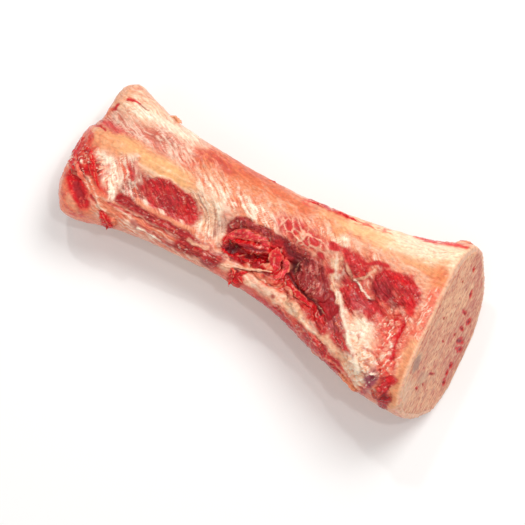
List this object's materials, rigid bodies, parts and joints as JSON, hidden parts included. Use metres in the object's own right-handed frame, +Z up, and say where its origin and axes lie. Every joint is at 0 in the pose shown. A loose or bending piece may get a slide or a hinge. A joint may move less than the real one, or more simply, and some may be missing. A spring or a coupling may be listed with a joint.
{
  "type": "raw beef marrow bone",
  "caption": "Raw beef limb bone with a natural joint end, an oblique saw cut showing spongy bone, and scraps of muscle and fat along its upper side.",
  "frame": {"origin": "under the middle of the bone's box, on the surface it lies on", "axes": "+X along the bone from its joint end to its sawn end, +Z up"},
  "size_m": [0.2996, 0.127, 0.0809],
  "materials": {
    "bone": "damp bone skin and fat, cream to orange, satin",
    "spongy_bone": "sawn spongy bone, pinkish tan, matte and damp",
    "muscle": "raw red muscle, moist",
    "wet_muscle": "bright wet red muscle",
    "dark_muscle": "dark purple-red muscle, moist",
    "fat": "pale wrinkled fat, moist"
  },
  "bodies": {
    "root": {"bone": "bone", "spongy_bone": "spongy_bone", "oval_muscle": "muscle", "groove_muscle": "dark_muscle", "hollow_muscle": "dark_muscle", "rolled_muscle": "wet_muscle", "torn_muscle": "wet_muscle", "streaked_muscle": "dark_muscle", "low_torn_muscle": "wet_muscle", "wedge_muscle": "dark_muscle", "netted_muscle": "muscle", "corner_muscle": "muscle", "deep_oval_muscle": "muscle", "low_oval_muscle": "muscle", "wrinkled_fat": "fat", "end_muscle": "dark_muscle", "low_edge_muscle": "muscle", "high_edge_scrap": "muscle", "dark_scrap": "dark_muscle", "ragged_tag": "wet_muscle", "joint_tag": "wet_muscle", "joint_flesh": "wet_muscle"}
  },
  "joints": []
}
